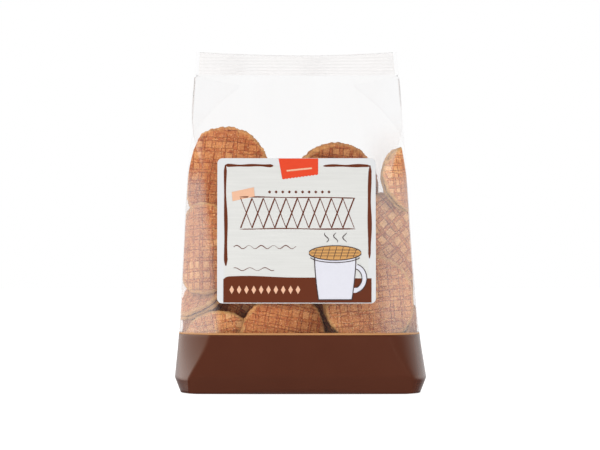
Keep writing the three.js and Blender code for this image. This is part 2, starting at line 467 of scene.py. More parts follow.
# The film's milkiness holds the seal's own haze, and also the painted side sheen and painted fold
# highlights.
body = add(tree, "ShaderNodeMixShader", {
    0: remembered(tree, "haze"), 1: clear.outputs[0], 2: milk.outputs[0]})
shine = add(tree, "ShaderNodeBsdfAnisotropic", {"Color": (1, 1, 1, 1), "Roughness": 0.16})
film_mix = add(tree, "ShaderNodeMixShader", {0: gloss_share, 1: body.outputs[0], 2: shine.outputs[0]})
tree.links.new(film_mix.outputs[0], output.inputs["Surface"])

rings = film_rings(0, height)
film_points = rings.reshape(-1, 3)
film = new_piece("bag_film", film_points, ring_faces(*rings.shape[:2]), clear_film,
                 stands_for=["bag"])
# The gussets' folded-in sides are clearer and duller than the panels that they lie behind. The
# film's turn into its full sides is dull too.
x, _, z = film_points.T
step = np.arange(side_steps + panel_steps)
on_side = np.tile(np.concatenate([step < side_steps, step > panel_steps]), 2 * len(rings))
folded_in = on_side * smooth((z - haze_top) / (14 * MM))
turned = smooth((np.abs(from_middle(x, z)) / at_height(HALF_WIDTH, z) - 0.84) / 0.1)
turned = turned * smooth((145 * MM - z) / (15 * MM))
remember(film.data, haze=film_haze(film_points) * (1 - 0.9 * folded_in),
         glossiness=(1 - 0.92 * folded_in) * (1 - 0.75 * turned))


# ---- The printed foot ----------------------------------------------------------------------
# The film's foot is printed opaque brown up to 33 mm, with a thin golden line on top. Each
# print is a thin closed skin just outside the film.

def inside_out(faces):
    return [tuple(reversed(face)) for face in faces]


def object_place(tree):
    return add(tree, "ShaderNodeTexCoord").outputs["Object"]


foot_skin = 0.05 * MM  # how far the print's inner skin is kept off the ground


def printed_sleeve(name, low, high, inner, outer, material):
    """A thin skin round the film from one height to another, closed underneath if it starts
    at the surface that the bag stands on."""
    rows = film_rings(low, high)
    count, around = rows.shape[:2]
    ahead, behind = np.roll(rows, -1, axis=1), np.roll(rows, 1, axis=1)
    upward = np.gradient(rows, axis=0)
    normal = np.cross(ahead - behind, upward)
    normal /= np.linalg.norm(normal, axis=2, keepdims=True)
    skins = [rows + normal * offset for offset in (inner, outer)]
    solid_foot = low == 0
    if solid_foot:
        skins[0] = skins[0][1:] + (0, 0, foot_skin)
        skins[0][0, :, 2] = np.maximum(skins[0][0, :, 2], foot_skin)
        skins[1][:, :, 2] = np.maximum(skins[1][:, :, 2], 0)
    outer_rows, inner_rows = len(skins[1]), len(skins[0])
    points = np.concatenate([skins[1].reshape(-1, 3), skins[0].reshape(-1, 3)])
    ends = (solid_foot, False)
    faces = ring_faces(outer_rows, around, 0, ends)
    first = outer_rows * around
    faces += inside_out(ring_faces(inner_rows, around, first, ends))
    joins = [((outer_rows - 1) * around, first + (inner_rows - 1) * around, False)]
    if not solid_foot:
        joins.append((0, first, True))
    for outside, inside, turned in joins:
        for k in range(around):
            after = (k + 1) % around
            quad = (outside + k, outside + after, inside + after, inside + k)
            faces.append(quad[::-1] if turned else quad)
    return new_piece(name, points, faces, material)


print_gap, print_top = 0.04 * MM, 0.12 * MM  # how far out of the film a print starts and ends
brown_print, tree, output = new_material("brown printed film")
tone = noise(tree, object_place(tree), 60.0, 3.0)
brown = mix_colours(tree, tone, srgb(77, 39, 27), srgb(83, 43, 30))
surface(tree, output, brown, 0.25, 0.42, {"Specular Tint": (1, 0.8, 0.62, 1)})
printed_sleeve("foot_band", 0, band_top, print_gap, print_top, brown_print)

gold_print, tree, output = new_material("golden tan printed film")
tone = noise(tree, object_place(tree), 150.0)
surface(tree, output, mix_colours(tree, tone, srgb(174, 122, 78), srgb(190, 140, 92)), 0.25, 0.5)
printed_sleeve("gold_line", band_top, band_top + gold_line, print_gap, print_top, gold_print)


# ---- The waffles ---------------------------------------------------------------------------
# Small syrup waffles, 49 mm across and 6 mm thick: two thin wafers baked with a square grid,
# with a layer of syrup between them. They lie as they fell, mostly flat against the film. One
# wafer is modelled, and Geometry Nodes repeat it, each time with its own relief and rim.

waffle_radius = 24.5 * MM
wafer_thickness, syrup_thickness = 2.35 * MM, 1.25 * MM
waffle_thickness = 2 * wafer_thickness + syrup_thickness
pitch = 5.8 * MM  # from one ridge of the grid to the next


def wafer_surface(offsets):
    """One face of a wafer as a flat grid cut to a circle: its points, how deep in a pit each
    is (0 to 1), its faces, and the loop of points round its rim. offsets are the grid's
    lines within one pitch, from the middle of a ridge."""
    cells = int(waffle_radius // pitch) + 1
    lines = np.array([k * pitch + offset for k in range(-cells, cells + 1) for offset in offsets])
    lines = np.sort(lines[np.abs(lines) < waffle_radius + 2 * MM])
    x, y = np.meshgrid(lines, lines, indexing="ij")
    radius = np.hypot(x, y)
    count = len(lines)
    inside = radius < waffle_radius
    index = np.arange(count * count).reshape(count, count)
    faces = []
    for i in range(count - 1):
        for j in range(count - 1):
            corners = [(i, j), (i + 1, j), (i + 1, j + 1), (i, j + 1)]
            if sum(inside[c] for c in corners) >= 2:
                faces.append([index[c] for c in corners])
    used = sorted({corner for face in faces for corner in face})
    renumber = {old: new for new, old in enumerate(used)}
    faces = [tuple(renumber[corner] for corner in face) for face in faces]
    points = np.stack([x.ravel()[used], y.ravel()[used]], axis=1)
    edges = {(face[k], face[(k + 1) % 4]) for face in faces for k in range(4)}
    follow = dict(edge for edge in edges if edge[::-1] not in edges)
    loop = [next(iter(follow))]
    while follow[loop[-1]] != loop[0]:
        loop.append(follow[loop[-1]])
    # The loop's points go out or in to the circle.
    points[loop] *= (waffle_radius / np.linalg.norm(points[loop], axis=1))[:, None]

    to_ridge = np.abs((points / pitch + 0.5) % 1 - 0.5) * pitch
    walls = smooth((to_ridge - 0.45 * MM) / (0.7 * MM))
    rim = np.linalg.norm(points, axis=1) / waffle_radius
    pit = walls.min(axis=1) * smooth((0.95 - rim) / 0.04)
    return points, pit, faces, loop


def wafer(name, offsets, lift, faces_up):
    """A closed wafer with its patterned face out. lift is its inner face's height."""
    flat, pit, faces, loop = wafer_surface(offsets)
    rim = np.linalg.norm(flat, axis=1) / waffle_radius
    drop = 0.6 * MM * np.clip((rim - 0.93) / 0.07, 0, 1) ** 2
    points = [np.column_stack([flat, lift + wafer_thickness - drop])]
    edge = flat[loop]
    count, first = len(loop), len(flat)
    rings = [(1.004, 0.68), (1.006, 0.35), (0.998, 0.06), (0.985, 0.0), (0.75, 0), (0.5, 0), (0.25, 0)]
    start = loop
    for size, level in rings:
        points.append(np.column_stack([edge * size, np.full(count, lift + wafer_thickness * level)]))
        here = list(range(first, first + count))
        for k in range(count):
            after = (k + 1) % count
            faces.append((start[k], here[k], here[after], start[after]))
        first, start = first + count, here
    points.append([[0, 0, lift]])
    faces += [(start[(k + 1) % count], start[k], first) for k in range(count)]
    points = np.concatenate(points)
    if not faces_up:
        points[:, 2] *= -1
        faces = inside_out(faces)
    pits = np.zeros(len(points))
    pits[: len(pit)] = pit
    outer = np.zeros(len(points))
    outer[: len(pit)] = smooth((0.99 - rim) / 0.05)
    return mesh_with(name, points, faces, pit=pits, outer=outer)


def syrup_disc(name):
    """The closed layer of syrup: rings of points from the middle of one face to the other's."""
    count = 96
    angle = np.linspace(0, 2 * np.pi, count, endpoint=False)
    circle = np.stack([np.cos(angle), np.sin(angle)], axis=1) * waffle_radius
    half = syrup_thickness / 2 - 0.01 * MM
    profile = [(0.3, -half), (0.6, -half), (0.88, -half), (0.965, -half), (0.982, 0),
               (0.965, half), (0.88, half), (0.6, half), (0.3, half)]
    points = [np.column_stack([circle * size, np.full(count, z)]) for size, z in profile]
    points.append([[0, 0, -half], [0, 0, half]])
    faces = ring_faces(len(profile), count, closed_ends=(False, False))
    last = (len(profile) - 1) * count
    for k in range(count):
        after = (k + 1) % count
        faces.append((after, k, len(profile) * count))
        faces.append((last + k, last + after, len(profile) * count + 1))
    return mesh_with(name, np.concatenate(points), faces)


def mesh_with(name, points, faces, **values):
    """A mesh that also remembers its flat shape, with more numbers for each point if given."""
    mesh = new_mesh(name, points, faces)
    remember(mesh, flat=points, **values)
    return mesh


# How the waffles lie. Seen from the front, the bag's depth is kept as a map of how far back
# each square millimetre is taken. Each waffle tries many tilts and bends, and takes the one
# that brings its middle nearest to the film. The same is done from the back.
cell = 1 * MM
map_half, map_top = 74, 152
map_x = np.arange(-map_half, map_half + 1) * cell
map_z = np.arange(0, map_top + 1) * cell
film_gap, waffle_gap, side_gap, foot_gap = 0.7 * MM, 0.3 * MM, 0.8 * MM, 1.5 * MM
filling_top = 150 * MM
far = 1.0  # deeper than anything in the bag


def empty_map(facing):
    """How deep the film itself is behind the front (facing -1), or the back turned to the
    front (facing 1)."""
    x, z = np.meshgrid(map_x * -facing, map_z, indexing="ij")
    across = from_middle(x, z)
    inside = np.abs(across) < at_height(HALF_WIDTH, z) - side_gap
    inside &= (z > foot_gap) & (z < filling_top)
    inside &= np.abs(across) < at_height(HALF_WIDTH, z) - gusset_fold(z) - 1 * MM
    depth = -panel_depth(across, z) + film_gap
    return np.where(inside, depth, far)


def disc_points(step):
    """Points all over both faces of a waffle, and round both rims."""
    ticks = np.arange(-waffle_radius, waffle_radius, step)
    x, y = np.meshgrid(ticks, ticks)
    keep = np.hypot(x, y) < waffle_radius
    angle = np.linspace(0, 2 * np.pi, int(2 * np.pi * waffle_radius / step), endpoint=False)
    x = np.concatenate([x[keep], waffle_radius * np.cos(angle)])
    y = np.concatenate([y[keep], waffle_radius * np.sin(angle)])
    half = (waffle_thickness + waffle_gap) / 2
    return np.concatenate([np.stack([x, y, np.full(len(x), side)], 1) for side in (half, -half)])


def posed(points, lean, yaw, left_bend, right_bend):
    """Points of a waffle that faces the front, its halves bent back about its upright middle
    line, then leant and turned."""
    x, y, z = points.T
    radius = 1 / np.where(x < 0, left_bend, right_bend)
    x, z = (radius + z) * np.sin(x / radius), (radius + z) * np.cos(x / radius) - radius
    y, z = y * np.cos(lean) - z * np.sin(lean), z * np.cos(lean) + y * np.sin(lean)
    return np.stack([x * np.cos(yaw) + z * np.sin(yaw), x * np.sin(yaw) - z * np.cos(yaw), y], 1)


def pressed(points):
    """Points drawn in towards the middle line, and up from the foot, to just inside the film."""
    z = np.maximum(points[:, 2], foot_arch + 0.4 * MM)
    across, y = from_middle(points[:, 0], z), points[:, 1] + seam_rise / 2

    def room(share):
        out = np.abs(y) * share
        past_side = np.clip(1 - out / (0.92 * at_height(HALF_DEPTH, z)), 0, 1)
        side = at_height(HALF_WIDTH, z) - gusset_fold(z) * past_side - np.abs(across) * share
        return np.minimum(panel_depth(across * share, z) - out, side) - 0.5 * MM

    low, high = np.full(len(z), 0.3), np.ones(len(z))
    inside = room(high) >= 0
    for _ in range(14):
        middle = (low + high) / 2
        fits = room(middle) >= 0
        low, high = np.where(fits, middle, low), np.where(fits, high, middle)
    share = np.where(inside, 1, low)
    return np.stack([at_height(DRIFT, z) + across * share, y * share - seam_rise / 2, z], 1)


straight = 0.2  # how much a half that isn't bent is curved, in radians to the metre
bends = [(straight, straight), (12.0, 12.0), (22.0, 22.0), (34.0, 4.0), (4.0, 34.0),
         (16.0, straight), (straight, 16.0)]
coarse, fine = disc_points(3.8 * MM), disc_points(0.6 * MM)
tilts = [
    (np.radians(lean), np.radians(yaw), *bend)
    for lean in range(-40, 41, 8)
    for yaw in range(-64, 65, 8)
    for bend in bends
]
tilted = np.array([posed(coarse, *tilt) for tilt in tilts])
effort = np.array([
    1.0 * MM * (abs(lean) + abs(yaw)) + 0.02 * MM * (left + right)
    for lean, yaw, left, right in tilts])


def cells_of(x, z):
    """The map's cells that places seen from the front fall in."""
    return (np.clip(np.round(x / cell).astype(int) + map_half, 0, 2 * map_half),
            np.clip(np.round(z / cell).astype(int), 0, map_top))


def lay(taken, limit, x, z, tilt=None, size=1):
    """The pose of a waffle at (x, z) that wastes the least room behind what is taken: its
    middle's y and its tilt, or None where none fits before the limit. Only one tilt is tried
    if given. A little of it may reach past the sides' cells."""
    bodies = tilted if tilt is None else posed(fine * (size, size, 1), *tilt)[None]
    at = cells_of(x + bodies[:, :, 0], z + bodies[:, :, 2])
    room, y = taken[at], bodies[:, :, 1]
    outside = room > far / 2
    middle = np.where(outside, -far, room - y).max(axis=1)
    if tilt is not None:
        return middle[0], tilt
    y = middle[:, None] + y
    over = np.where(outside, -far, y - limit[at]).max(axis=1)
    past_sides = outside.mean(axis=1)
    wasted = np.where(outside, 0, y - room).mean(axis=1) + effort + 0.1 * past_sides
    wasted = np.where((over > 0.8 * MM) | (past_sides > 0.04), far, wasted)
    best = int(np.argmin(wasted))
    return (middle[best], tilts[best]) if wasted[best] < far / 2 else None


in_front, behind = empty_map(-1), empty_map(1)
waffles = []  # (layer, x, y, z, lean, yaw, left bend, right bend, spin, size, bake)


def put(from_front, layer, x, z, spin, bake, tilt=None, size=1, y=None):
    """Lays a waffle against the front or the back, or at the y that is given, and marks its
    room as taken. The back is seen turned round. bake is how dark it is, from 0 to 1."""
    taken, other = (in_front, behind) if from_front else (behind, in_front)
    found = lay(taken, -other[::-1], x, z, tilt, size)
    if not found:
        return
    y, (lean, yaw, *bend) = found if y is None else (y, tilt)
    body = posed(fine * (size, size, 1), lean, yaw, *bend)
    np.maximum.at(taken, cells_of(x + body[:, 0], z + body[:, 2]), y + body[:, 1])
    side = 1 if from_front else -1
    yaw += 0 if from_front else np.pi
    waffles.append((layer, side * x, side * y, z, lean, yaw, *bend, np.radians(spin), size, bake))


# Where the waffles' middles are in millimetres, how far their grid is turned, and how dark they
# are. Those round the sides also have how they lean and turn, how much their left and right
# halves bend, their size, and how far forward they are where they don't rest against the film.
# First come those that are seen whole or nearly so, from the nearest to the deepest. The others
# fill corners and gaps at the sides, where parts of them show, and the room behind the first
# ones and the label. They are made with a coarser pattern.
nearest_waffles = [
    (37.4, 50.8, 5, 0.3, -3, 12, 2, 6, 1.04, -15), (-8.7, 30.4, -10, 0.75),
    (57.2, 117.3, 0, 0, -8, 62, 34, 46, 0.72, -4), (-53.3, 79.5, 2, 0.5, -2, -25, 45, 16, 1, -15),
    (-42.8, 120.8, -3, 0.8, -12, -20, 14, 24, 1.04, -10.5),
    (-44.6, 23.4, 8, 0.1, -6, -6, 34, 8, 0.9, -19), (48, 84, 40, 0.25, 0, 20, 8, 30, 1.06, -2),
    (18.8, 113.3, -6, 0.95), (-54, 61.5, 18, 0.4, -36, -56, 36, 12, 1, 2),
]
filler_waffles = [
    (62, 26, 30, 0.9, 0, 80, 8, 8, 0.9, 9), (-62.5, 26, 40, 0.9, 0, -78, 8, 8, 0.9, 7),
    (-49, 101, 30, 0.7, 0, -40, 20, 20, 1, 1), (61.5, 59, 10, 0.8, 0, 82, 8, 8, 0.55, 18),
    (14, 27.2, 30, 0.6), (10, 80, 20, 0.5), (-34, 29, 60, 0.8),
]
for layer, group in (("front", nearest_waffles), ("middle", filler_waffles)):
    for x, z, spin, bake, *pose in group:
        if not pose:
            put(True, layer, x * MM, z * MM, spin, bake)
            continue
        lean, yaw, left, right, size, y = pose
        tilt = (np.radians(lean), np.radians(yaw), left, right)
        put(True, layer, x * MM, z * MM, spin, bake, tilt, size, y * MM)

lowest_back = 27.2  # the lowest that a waffle's middle may be at the back, in millimetres
draw = np.random.default_rng(37)
for x, z in ((-41, 26), (1, 26), (41, 26), (-22, 57), (23, 58), (-19, 110), (-44, 72),
             (0, 88), (42, 74), (30, 98)):
    jitter = draw.uniform(-3, 3, 2)
    put(False, "back", (x + jitter[0]) * MM, max(z + jitter[1], lowest_back) * MM,
        draw.uniform(0, 90), draw.uniform(0.1, 0.9))

# The rest fill the room that is left, kept as cells of 1.5 mm. Each takes the best of many
# random poses, moved about a little: the one that touches the most of what is round it, lies
# low and is near a side.
block = 1.5 * MM
half_x, half_y, block_rows = 46, 22, 90  # cells to each side of the middle, and upwards
bx, by, bz = np.meshgrid(np.arange(-half_x, half_x + 1) * block, np.arange(-half_y, half_y + 1) * block,
                         np.arange(block_rows) * block, indexing="ij")
across = from_middle(bx, bz)
free = np.abs(by) < panel_depth(across, bz) - film_gap
free &= (np.abs(across) < at_height(HALF_WIDTH, bz) - side_gap) & (bz > foot_gap)
free &= bz < np.where(bx > 39 * MM, 109, 125) * MM  # the filling reaches less high on the right
solid = np.concatenate([fine * (1, 1, share) for share in (1, 0.4, 0)])


def blocks_of(points):
    rows = np.round(points / block).astype(int) + (half_x, half_y, 0)
    return tuple(np.clip(rows, 0, np.array(free.shape) - 1)[..., k] for k in range(3))


def take(waffle):
    """Marks a waffle's room as taken."""
    _, x, y, z, *tilt, _, size, _ = waffle
    free[blocks_of(posed(solid * (size, size, 1), *tilt) + (x, y, z))] = False


def close_by():
    """The cells that touch something."""
    taken = np.pad(~free, 1, constant_values=True)
    beside = [np.roll(taken, step, axis)[1:-1, 1:-1, 1:-1] for axis in range(3) for step in (-1, 1)]
    return np.any(beside, axis=0)


for waffle in waffles:
    take(waffle)
wanted, tries, kept, copies = 37, 4000, 80, 20
most_shared, most_misses, misses = 0.05, 5, 0
clash_cost, side_pull, sinking = 8, 6, 3  # what counts against and for a pose, beside its touch
places = np.array([[-46, -24, 27], [46, 24, 104]]) * MM
tilt_grid = (11, 17, len(bends))
while len(waffles) < wanted and misses < most_misses:
    touching = close_by()
    pose = draw.integers(0, tilt_grid, (tries, 3))
    middles = draw.uniform(*places, (tries, 3))
    for reach in (4, 4, 3, 3, 2, 2, 1.5, 1.5, 1, 1, 0.6, 0.4):
        picked = np.ravel_multi_index(pose.T, tilt_grid)
        at = blocks_of(tilted[picked] + middles[:, None])
        clash = (~free[at]).mean(axis=1)
        score = touching[at].mean(axis=1) - clash_cost * clash
        score += side_pull * np.abs(middles[:, 0]) - sinking * middles[:, 2]
        best = np.argsort(-score)[:kept]
        if reach == 0.4:
            break
        pose, middles = np.tile(pose[best], (copies, 1)), np.tile(middles[best], (copies, 1))
        pose[kept:] += draw.integers(-1, 2, pose[kept:].shape)
        pose = np.clip(pose, 0, np.array(tilt_grid) - 1)
        middles[kept:] += draw.normal(0, reach * MM, middles[kept:].shape)
        middles = np.clip(middles, *places)
    best = best[clash[best] < most_shared]
    if not len(best):
        misses += 1
        continue
    lean, yaw, *bend = tilts[picked[best[0]]]
    spin, bake = draw.uniform(0, (np.pi, 0.9))
    waffles.append(("middle", *middles[best[0]], lean, yaw, *bend, spin, 1, bake))
    take(waffles[-1])


def waffle_points(layer):
    """A point for each waffle of a layer, with how it is turned, bent and told apart."""
    chosen = [w for w in waffles if w[0] == layer]
    mesh = new_mesh(f"places of {layer}", [w[1:4] for w in chosen], [])
    remember(mesh, turn=[(np.pi / 2 + w[4], 0, w[5]) for w in chosen], place=[w[1:4] for w in chosen],
             seed=[waffles.index(w) + 1 for w in chosen])
    for column, key in enumerate(("left_bend", "right_bend", "spin", "size", "bake"), 6):
        remember(mesh, **{key: [w[column] for w in chosen]})
    return mesh


def named(tree, key, kind="FLOAT"):
    node = add(tree, "GeometryNodeInputNamedAttribute", {"Name": key}, data_type=kind)
    return node.outputs["Attribute"]


own_way = (0.37, 0.91, 0.53)  # the step in the noises from one waffle to the next


def strays(tree, vector, scale, width):
    """Steps to all sides over a band of some width, from a noise."""
    off = vector_calc(tree, "SUBTRACT", noise(tree, vector, scale, output="Color"), (0.5, 0.5, 0.5))
    return vector_calc(tree, "SCALE", off, width)


def laid_out_tree():
    """Geometry Nodes that put a wafer at every point, give each copy its own relief and rim,
    bend it, and turn it to how it lies."""
    tree = bpy.data.node_groups.new("lay out waffles", "GeometryNodeTree")
    sides = tree.interface
    sides.new_socket("Geometry", in_out="INPUT", socket_type="NodeSocketGeometry")
    for name, kind in (("Wafer", "Object"), ("Pit depth", "Float"), ("Raggedness", "Float"),
                       ("Crumb", "Float"), ("Material", "Material")):
        sides.new_socket(name, in_out="INPUT", socket_type=f"NodeSocket{kind}")
    sides.new_socket("Geometry", in_out="OUTPUT", socket_type="NodeSocketGeometry")
    given = add(tree, "NodeGroupInput").outputs

    shape = add(tree, "GeometryNodeObjectInfo", {"Object": given["Wafer"]}).outputs["Geometry"]
    copies = add(tree, "GeometryNodeInstanceOnPoints", {
        "Points": given["Geometry"], "Instance": shape}).outputs[0]
    real = add(tree, "GeometryNodeRealizeInstances", {"Geometry": copies}).outputs[0]

    flat = named(tree, "flat", "FLOAT_VECTOR")
    seed = named(tree, "seed")
    apart = vector_calc(tree, "SCALE", own_way, seed)
    where = vector_calc(tree, "ADD", flat, apart)
    level = vector_calc(tree, "MULTIPLY", flat, (1, 1, 0))
    lying = vector_calc(tree, "ADD", level, apart)
    z = xyz(tree, flat)[2]
    facing = calc(tree, "SIGN", z)

    # Pits of uneven depth, a crumbly surface, and a wafer that isn't quite flat.
    uneven = calc(tree, "MULTIPLY_ADD", noise(tree, where, 160.0), 1.1, 0.45)
    sink = product(tree, named(tree, "pit"), given["Pit depth"], uneven)
    grain = calc(tree, "SUBTRACT", noise(tree, where, 620.0, 3.0, 0.6), 0.5)
    grain = product(tree, grain, given["Crumb"], named(tree, "outer"))
    out = calc(tree, "SUBTRACT", grain, sink)
    wave = calc(tree, "MULTIPLY", calc(tree, "SUBTRACT", noise(tree, lying, 34.0, 1.0), 0.5), 1.2 * MM)
    new_z = calc(tree, "ADD", calc(tree, "MULTIPLY_ADD", out, facing, z), wave)

    # The grid wanders a little, and the rim is ragged.
    wander = vector_calc(tree, "MULTIPLY", strays(tree, lying, 130.0, 0.9 * MM), (1, 1, 0))
    outwards = calc(tree, "DIVIDE", vector_calc(tree, "LENGTH", level), waffle_radius)
    at_rim = calc(tree, "POWER", outwards, 14.0)
    ragged = calc(tree, "SUBTRACT", noise(tree, where, 520.0, 3.0, 0.65), 0.5)
    ragged = product(tree, ragged, given["Raggedness"], at_rim)
    oval = calc(tree, "SUBTRACT", noise(tree, apart, 3.0, 0.0), 0.5)
    size = calc(tree, "ADD", calc(tree, "MULTIPLY_ADD", oval, 0.06, 0.995), ragged)
    size = calc(tree, "MULTIPLY", size, named(tree, "size"))
    spread = vector_calc(tree, "ADD", vector_calc(tree, "SCALE", level, size), wander)
    px, py, _ = xyz(tree, spread)

    # Spun in its own plane, each half bent back, leant, turned and put in its place.
    shaped = add(tree, "ShaderNodeCombineXYZ", {"X": px, "Y": py, "Z": new_z}).outputs[0]
    spun = add(tree, "ShaderNodeVectorRotate", {
        "Vector": shaped, "Angle": named(tree, "spin")}, rotation_type="Z_AXIS").outputs[0]
    sx, sy, sz = xyz(tree, spun)
    on_right = calc(tree, "GREATER_THAN", sx, 0.0)
    bend = add(tree, "ShaderNodeMix", {
        "Factor": on_right, "A": named(tree, "left_bend"), "B": named(tree, "right_bend")}).outputs[0]
    radius = calc(tree, "DIVIDE", 1.0, bend)
    arm = calc(tree, "ADD", radius, sz)
    angle = calc(tree, "MULTIPLY", sx, bend)
    bx = calc(tree, "MULTIPLY", arm, calc(tree, "SINE", angle))
    bz = calc(tree, "SUBTRACT", calc(tree, "MULTIPLY", arm, calc(tree, "COSINE", angle)), radius)
    bent = add(tree, "ShaderNodeCombineXYZ", {"X": bx, "Y": sy, "Z": bz}).outputs[0]
    turned = add(tree, "ShaderNodeVectorRotate", {
        "Vector": bent, "Rotation": named(tree, "turn", "FLOAT_VECTOR")},
        rotation_type="EULER_XYZ").outputs[0]
    final = vector_calc(tree, "ADD", turned, named(tree, "place", "FLOAT_VECTOR"))
    moved = add(tree, "GeometryNodeSetPosition", {"Geometry": real, "Position": final}).outputs[0]
    rounded = add(tree, "GeometryNodeSetShadeSmooth", {"Geometry": moved}).outputs[0]
    coated = add(tree, "GeometryNodeSetMaterial", {
        "Geometry": rounded, "Material": given["Material"]}).outputs[0]
    tree.links.new(coated, add(tree, "NodeGroupOutput").inputs["Geometry"])
    return tree


lay_out = laid_out_tree()


def laid_out(layer, shapes, material, pit_depth, raggedness, crumb):
    """One mesh with a copy of every shape at each waffle of a layer."""
    sources = []
    for shape in shapes:
        holder = placed("points", waffle_points(layer))
        pattern = placed("pattern", shape)
        nodes = holder.modifiers.new("lay out", "NODES")
        nodes.node_group = lay_out
        values = {"Wafer": pattern, "Pit depth": pit_depth, "Raggedness": raggedness,
                  "Crumb": crumb, "Material": material}
        for item in lay_out.interface.items_tree:
            if item.in_out == "INPUT" and item.name in values:
                nodes[item.identifier] = values[item.name]
        graph = bpy.context.evaluated_depsgraph_get()
        sources.append(bpy.data.meshes.new_from_object(
            holder.evaluated_get(graph), preserve_all_data_layers=True, depsgraph=graph))
        press_inside(sources[-1])
        bpy.data.objects.remove(holder)
        bpy.data.objects.remove(pattern)
    return sources


def press_inside(mesh):
    """Moves what reaches past the film inwards until it lies just inside it."""
    points = np.zeros(3 * len(mesh.vertices), np.float32)
    mesh.vertices.foreach_get("co", points)
    points = pressed(points.reshape(-1, 3).astype(float))
    mesh.vertices.foreach_set("co", points.ravel())
    mesh.update()


def join_meshes(name, meshes):
    """Joins meshes into one piece on the bag's body."""
    pieces = [placed(name, mesh) for mesh in meshes]
    with bpy.context.temp_override(active_object=pieces[0], selected_editable_objects=pieces):
        bpy.ops.object.join()
    piece = pieces[0]
    piece.name = name
    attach(piece, "root")
    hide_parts("bag")
    return piece


baked, tree, output = new_material("baked wafer")
flat = remembered(tree, "flat", "Vector")
apart = vector_calc(tree, "SCALE", own_way, remembered(tree, "seed"))
where = vector_calc(tree, "ADD", flat, apart)

# The grid: orange strips edged by thin, broken, dark lines, with paler squares of uneven tone. The dark
# lines lie along the pits' walls: they are partly browning and partly painted shade of those walls.
on_grid = vector_calc(tree, "ADD", flat, strays(tree, where, 90.0, 1.8 * MM))
on_grid = vector_calc(tree, "ADD", on_grid, strays(tree, where, 420.0, 1 * MM))
far_off = 40 * pitch  # keeps what is measured along the grid above zero
ridges = [calc(tree, "PINGPONG", calc(tree, "ADD", g, far_off), pitch / 2)
          for g in xyz(tree, on_grid)[:2]]
from_ridge = calc(tree, "DIVIDE", calc(tree, "MINIMUM", *ridges), pitch / 2)
square = vector_calc(tree, "SNAP", vector_calc(tree, "ADD", on_grid, (far_off,) * 3), (pitch,) * 3)
own_tone = noise(tree, vector_calc(tree, "ADD", square, apart), 61.0, 0.0)
square_colour = ramp(tree, own_tone, (0.3, srgb(190, 114, 64)), (0.5, srgb(202, 131, 76)),
                     (0.7, srgb(216, 158, 102)))
mottle = noise(tree, where, 330.0, 4.0, 0.65)
strip_colour = ramp(tree, mottle, (0.32, srgb(158, 78, 40)), (0.5, srgb(190, 108, 60)),
                    (0.68, srgb(210, 144, 84)))
in_square = ramp(tree, from_ridge, (0.32, 0), (0.52, 0.9))
grid_colour = mix_colours(tree, in_square, strip_colour, square_colour)
lines = []
# Each dark line is partly browning and partly painted shade on a pit's wall.
for distance, shift in zip(ridges, ((0, 0, 0), (0.3, 0.2, 0.1))):
    line = ramp(tree, calc(tree, "DIVIDE", distance, pitch / 2), (0.23, 0), (0.3, 1), (0.35, 1), (0.42, 0))
    broken = noise(tree, vector_calc(tree, "ADD", where, shift), 190.0, 4.0, 0.7)
    strength = ramp(tree, broken, (0.34, 0.1), (0.54, 1))
    lines.append(calc(tree, "MULTIPLY", line, strength))
grid_with_shaded_lines = mix_colours(tree, calc(tree, "MAXIMUM", *lines), grid_colour, srgb(116, 48, 25))
# Fine strokes along and across, as the iron leaves them.
strokes = [noise(tree, vector_calc(tree, "MULTIPLY", where, stretch), 1.0, 3.0, 0.6)
           for stretch in ((240, 1300, 700), (1300, 240, 700))]
stroke_tone = add(tree, "ShaderNodeMapRange", {
    "Value": calc(tree, "ADD", *strokes), "From Min": 0.75, "From Max": 1.25}).outputs[0]
grid_with_shaded_lines = mix_colours(tree, 1.0, grid_with_shaded_lines, mix_colours(
    tree, stroke_tone, (0.82, 0.76, 0.72, 1), (1.16, 1.18, 1.2, 1)), "MULTIPLY")
# Baked darker in places, with pale floury ones, and mottled all over.
hues = noise(tree, where, 700.0, 3.0, 0.7)
yellowed = mix_colours(tree, ramp(tree, hues, (0.5, 0), (0.66, 0.45)), grid_with_shaded_lines, srgb(208, 154, 82))
reddened = mix_colours(tree, ramp(tree, hues, (0.34, 0.45), (0.48, 0)), yellowed, srgb(150, 66, 34))
browning = noise(tree, where, 60.0, 4.0, 0.6)
darker = mix_colours(tree, 1.0, reddened, (0.76, 0.6, 0.5, 1), "MULTIPLY")
browned = mix_colours(tree, ramp(tree, browning, (0.4, 0), (0.68, 0.95)), reddened, darker)
# Tiny pale specks: painted glints, where the crust would catch the light.
glint_noise = noise(tree, where, 1300.0, 2.0, 0.7)
painted_glints = ramp(tree, glint_noise, (0.57, 0), (0.7, 0.7))
glinted = mix_colours(tree, painted_glints, browned, srgb(234, 190, 136))
own_bake = remembered(tree, "bake")
bake_tint = mix_colours(tree, own_bake, (1.52, 1.9, 2.4, 1), (0.88, 0.76, 0.68, 1))
glinted = mix_colours(tree, 1.0, glinted, bake_tint, "MULTIPLY")
level = vector_calc(tree, "MULTIPLY", flat, (1, 1, 0))
out_from_middle = calc(tree, "DIVIDE", vector_calc(tree, "LENGTH", level), waffle_radius)
ragged_edge = calc(tree, "MULTIPLY_ADD", noise(tree, where, 380.0, 3.0, 0.7), 0.2, out_from_middle)
rim_pale = ramp(tree, calc(tree, "SUBTRACT", ragged_edge, 0.095), (0.93, 0), (0.975, 0.85))
rim_pale = calc(tree, "MULTIPLY", rim_pale, calc(tree, "MULTIPLY_ADD", own_bake, -0.6, 1.0))
cream = mix_colours(tree, mottle, srgb(196, 134, 74), srgb(234, 196, 130))
wafer_colour = mix_colours(tree, rim_pale, glinted, cream)
